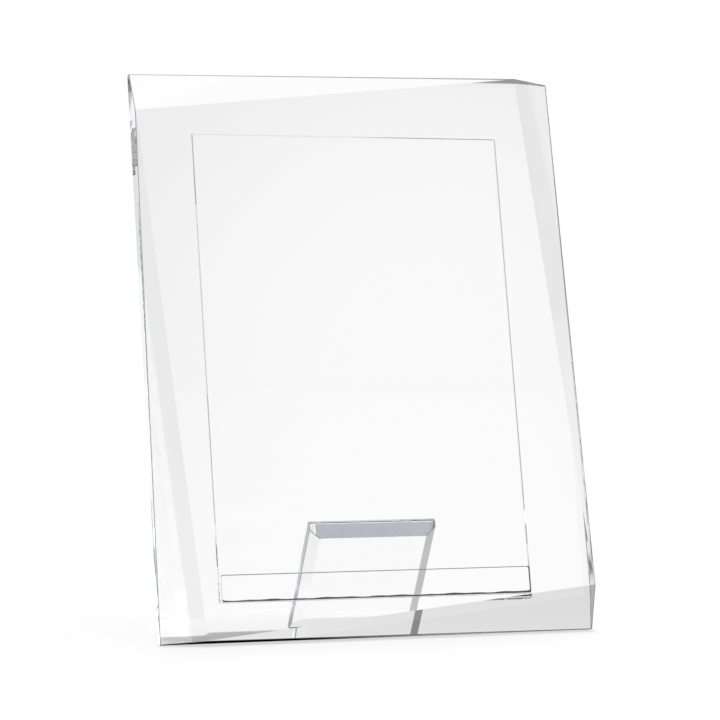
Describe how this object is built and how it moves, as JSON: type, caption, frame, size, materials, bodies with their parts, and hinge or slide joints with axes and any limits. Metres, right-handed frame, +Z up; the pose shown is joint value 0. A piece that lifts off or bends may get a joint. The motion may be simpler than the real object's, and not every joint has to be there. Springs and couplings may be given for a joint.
{
  "type": "acrylic block photo frame",
  "caption": "Clear photo frame that leans back: a pinwheel-faceted block with a thin plate bonded behind it, open at the top for a print, on a bevelled easel leg.",
  "frame": {"origin": "on the ground, under the middle of the frame's bounding box", "axes": "+Z up, -Y towards the viewer who faces the frame, +X to that viewer's right"},
  "size_m": [0.18, 0.0614, 0.2261],
  "materials": {
    "clear_block": "clear cast acrylic, polished facets and arrises",
    "clear_sheet": "clear sheet with polished edges, faint teal edge tint",
    "clear_bond": "clear cured adhesive"
  },
  "bodies": {
    "root": {"faceted_block": "clear_block", "rear_plate": "clear_sheet", "bonding_strip": "clear_bond", "easel_leg": "clear_sheet", "leg_adhesive": "clear_bond"}
  },
  "joints": []
}
